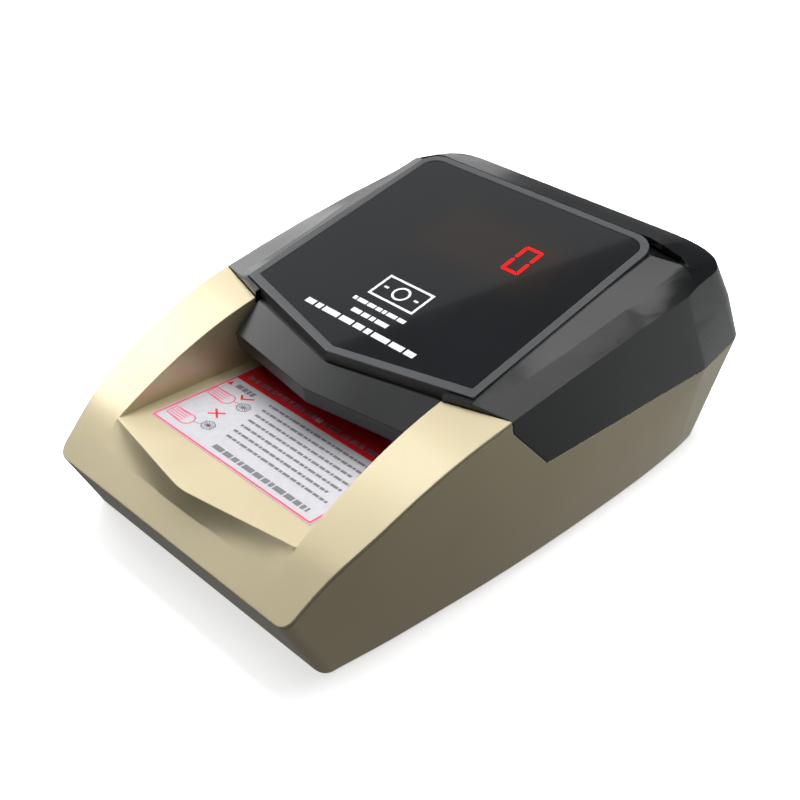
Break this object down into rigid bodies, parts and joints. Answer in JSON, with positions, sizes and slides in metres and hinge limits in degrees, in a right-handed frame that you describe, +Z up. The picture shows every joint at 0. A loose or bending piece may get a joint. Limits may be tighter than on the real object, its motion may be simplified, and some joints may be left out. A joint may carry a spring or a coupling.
{
  "type": "counterfeit bill detector",
  "caption": "Countertop banknote detector: sloped gold note tray between arched rails, black hinged cover with a dark display window, feed rollers inside.",
  "frame": {"origin": "centre of the bounding box at the bottom of the rubber feet, on the surface the detector stands on", "axes": "+Z up, +Y from the note tray at the front to the note exit at the rear, +X to the right of a user at the tray"},
  "size_m": [0.1412, 0.2096, 0.0773],
  "materials": {
    "gold_plastic": "satin champagne metallic moulding",
    "black_plastic": "satin black moulding",
    "grey_trim": "satin grey moulding",
    "smoked_window": "polished dark acrylic",
    "label_vinyl": "printed satin label",
    "guide_plastic": "fine matt moulding",
    "plated_steel": "zinc plated",
    "ground_steel": "ground shaft",
    "bronze": "sintered bronze",
    "feed_rubber": "matt moulded rubber",
    "nylon_white": "natural nylon",
    "belt_rubber": "ribbed timing belt",
    "sensor_glass": "clear lens",
    "circuit_board": "green solder mask",
    "component_black": "moulded packages",
    "led_face": "display module face",
    "battery_wrap": "shrink sleeve",
    "speaker_metal": "black frame",
    "foot_rubber": "soft pad"
  },
  "bodies": {
    "base": {"base_shell": "gold_plastic", "front_cover": "gold_plastic", "tray_label": "label_vinyl", "lower_guide": "guide_plastic", "side_brackets": "plated_steel", "shaft_bushes": "bronze", "encoder_sensor": "component_black", "motor": "plated_steel", "drive_belt": "belt_rubber", "lower_sensor_lens": "sensor_glass", "lower_sensor_board": "circuit_board", "magnetic_heads": "plated_steel", "power_board": "circuit_board", "board_standoffs": "nylon_white", "power_components": "component_black", "battery_cells": "battery_wrap", "battery_holder": "guide_plastic", "battery_door": "gold_plastic", "speaker": "speaker_metal", "port_plate": "black_plastic", "rocker_housing": "component_black", "power_jack": "component_black", "button_switch": "component_black", "hinge_pins": "ground_steel", "rubber_feet": "foot_rubber", "base_screws": "plated_steel"},
    "front_feed": {"front_drive_shaft": "ground_steel", "front_drive_rollers": "feed_rubber", "front_pulley": "nylon_white", "encoder_disc": "component_black"},
    "rear_feed": {"rear_drive_shaft": "ground_steel", "rear_drive_rollers": "feed_rubber", "rear_pulley": "nylon_white"},
    "motor_rotor": {"motor_shaft": "ground_steel", "motor_pulley": "bronze"},
    "cover": {"rear_cover": "black_plastic", "display_bezel": "grey_trim", "display_window": "smoked_window", "nose_hood": "black_plastic", "upper_guide": "guide_plastic", "upper_sensor_lens": "sensor_glass", "upper_sensor_board": "circuit_board", "display_board": "circuit_board", "display_components": "component_black", "digit_modules": "led_face"},
    "front_pinch": {"front_pinch_shaft": "ground_steel", "front_pinch_rollers": "feed_rubber"},
    "rear_pinch": {"rear_pinch_shaft": "ground_steel", "rear_pinch_rollers": "feed_rubber"},
    "rocker": {"power_rocker": "component_black"},
    "button": {"mode_button": "black_plastic"}
  },
  "joints": [
    {"name": "cover_hinge", "type": "hinge", "parent": "base", "child": "cover", "pos_m": [0, 0.1024, 0.0325], "axis": [-1, 0, 0], "range_deg": [0, 55]},
    {"name": "front_feed_spin", "type": "hinge", "parent": "base", "child": "front_feed", "pos_m": [0, -0.0048, 0.0263], "axis": [-1, 0, 0], "continuous": true},
    {"name": "rear_feed_spin", "type": "hinge", "parent": "base", "child": "rear_feed", "pos_m": [0, 0.0602, 0.0263], "axis": [-1, 0, 0], "continuous": true},
    {"name": "motor_spin", "type": "hinge", "parent": "base", "child": "motor_rotor", "pos_m": [0, 0.0277, 0.0165], "axis": [-1, 0, 0], "continuous": true},
    {"name": "front_pinch_spin", "type": "hinge", "parent": "cover", "child": "front_pinch", "pos_m": [0, -0.0048, 0.0405], "axis": [-1, 0, 0], "continuous": true},
    {"name": "rear_pinch_spin", "type": "hinge", "parent": "cover", "child": "rear_pinch", "pos_m": [0, 0.0602, 0.0405], "axis": [-1, 0, 0], "continuous": true},
    {"name": "power_rocker_tilt", "type": "hinge", "parent": "base", "child": "rocker", "pos_m": [-0.064, 0.0522, 0.018], "axis": [0, 0, 1], "range_deg": [-16, 0]},
    {"name": "mode_button_press", "type": "slide", "parent": "base", "child": "button", "axis": [1, 0, 0], "range_m": [0, 0.0012], "stiffness_N_per_m": 400}
  ],
  "couplings": [
    {"joint": "rear_feed_spin", "follows": "front_feed_spin", "ratio": 1},
    {"joint": "motor_spin", "follows": "front_feed_spin", "ratio": 1.8},
    {"joint": "front_pinch_spin", "follows": "front_feed_spin", "ratio": -1.3333},
    {"joint": "rear_pinch_spin", "follows": "front_feed_spin", "ratio": -1.3333}
  ]
}
